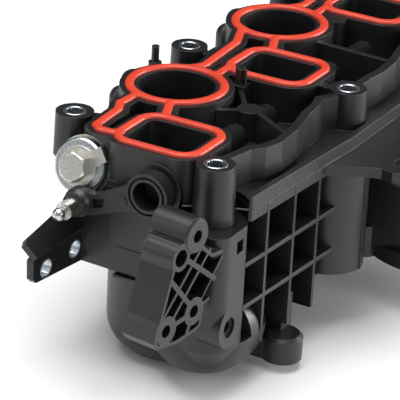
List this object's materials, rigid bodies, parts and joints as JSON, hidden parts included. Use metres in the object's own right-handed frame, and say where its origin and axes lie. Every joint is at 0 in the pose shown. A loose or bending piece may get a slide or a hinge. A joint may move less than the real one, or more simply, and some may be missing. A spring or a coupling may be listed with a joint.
{
  "type": "intake manifold",
  "caption": "Black plastic intake manifold with a welded upper and lower shell, an orange port gasket, metal bolt sleeves and swirl flaps turned by an outside lever.",
  "frame": {"origin": "on the port flange face, midway between the second and third cylinders", "axes": "+X along the row of cylinders away from the lever, +Y towards the back, away from the ribbed wall, +Z out of the port flange towards the cylinder head"},
  "size_m": [0.4093, 0.1542, 0.1025],
  "materials": {
    "shell": "satin glass-filled moulding",
    "flap_plastic": "satin moulding",
    "gasket": "smooth moulded silicone",
    "black_rubber": "smooth",
    "zinc": "bluish zinc plate",
    "bolt_steel": "bright plated steel",
    "shaft_steel": "ground steel",
    "bush": "dark bearing plastic",
    "brass": "knurled inserts"
  },
  "bodies": {
    "housing": {"upper_shell": "shell", "lower_shell": "shell", "port_gasket": "gasket", "flange_sleeves": "zinc", "near_bush": "bush", "shaft_bushes": "bush", "end_bolt": "bolt_steel", "tab_washer": "bolt_steel", "cup_washer": "zinc", "seal_ring": "black_rubber", "backing_ring": "bolt_steel", "bracket_sleeves": "zinc", "inlet_seal": "black_rubber", "inlet_inserts": "brass"},
    "flap_train": {"flap_shaft": "shaft_steel", "flap_1": "flap_plastic", "flap_2": "flap_plastic", "flap_3": "flap_plastic", "flap_4": "flap_plastic", "flap_lever": "flap_plastic", "lever_pin": "shaft_steel"}
  },
  "joints": [
    {"name": "flap_turn", "type": "hinge", "parent": "housing", "child": "flap_train", "pos_m": [-0.17, -0.0125, -0.0146], "axis": [1, 0, 0], "range_deg": [-80, 0]}
  ]
}
